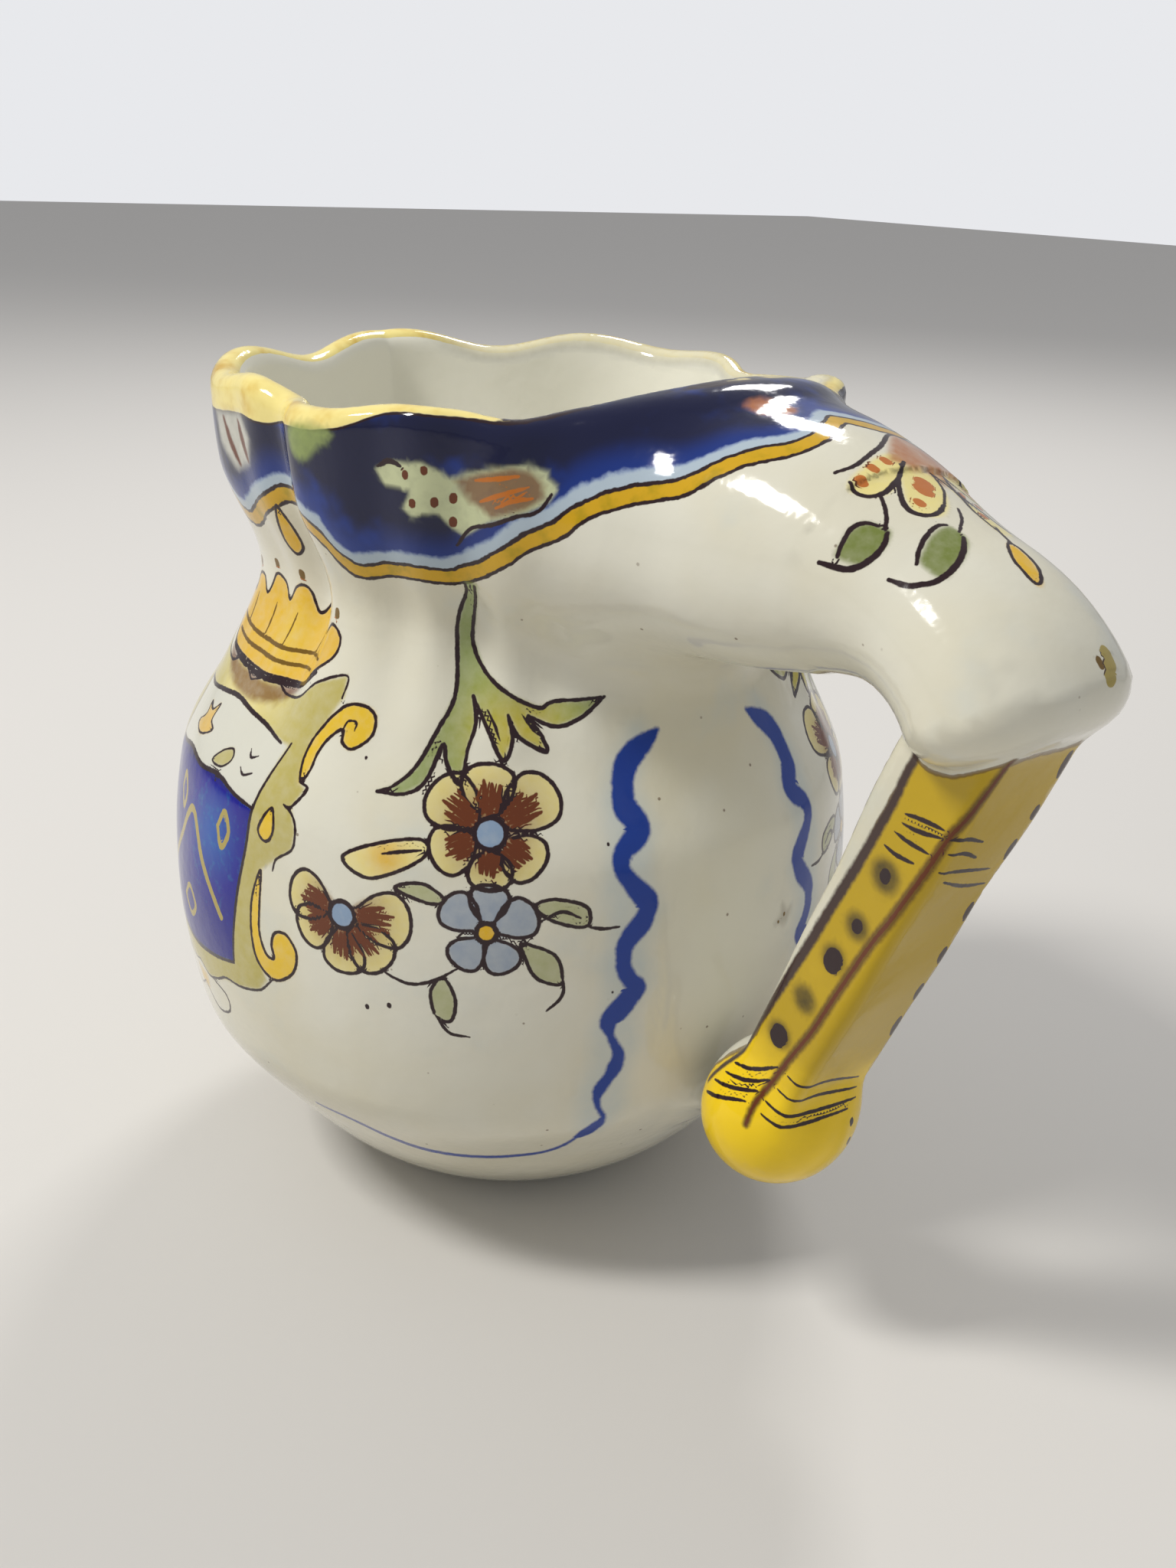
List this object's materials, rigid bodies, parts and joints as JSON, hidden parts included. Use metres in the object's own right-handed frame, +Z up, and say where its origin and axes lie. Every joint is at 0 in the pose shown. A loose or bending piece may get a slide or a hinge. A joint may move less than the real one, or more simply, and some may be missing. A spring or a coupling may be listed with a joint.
{
  "type": "faience jug",
  "caption": "Small glazed earthenware jug shaped like a gathered bag, with a bent arm and a hanging pipe as its handle, painted with flowers and a shield.",
  "frame": {"origin": "centre of the flat underside, on the axis of the bag", "axes": "+Z up through the mouth, +X from the bag's axis out along the arm, -Y the side with the shield that shows"},
  "size_m": [0.1293, 0.0868, 0.1049],
  "materials": {
    "glaze": "glossy cream tin glaze with cobalt, yellow, rust, green and brown painting"
  },
  "bodies": {
    "root": {"jug": "glaze"}
  },
  "joints": []
}
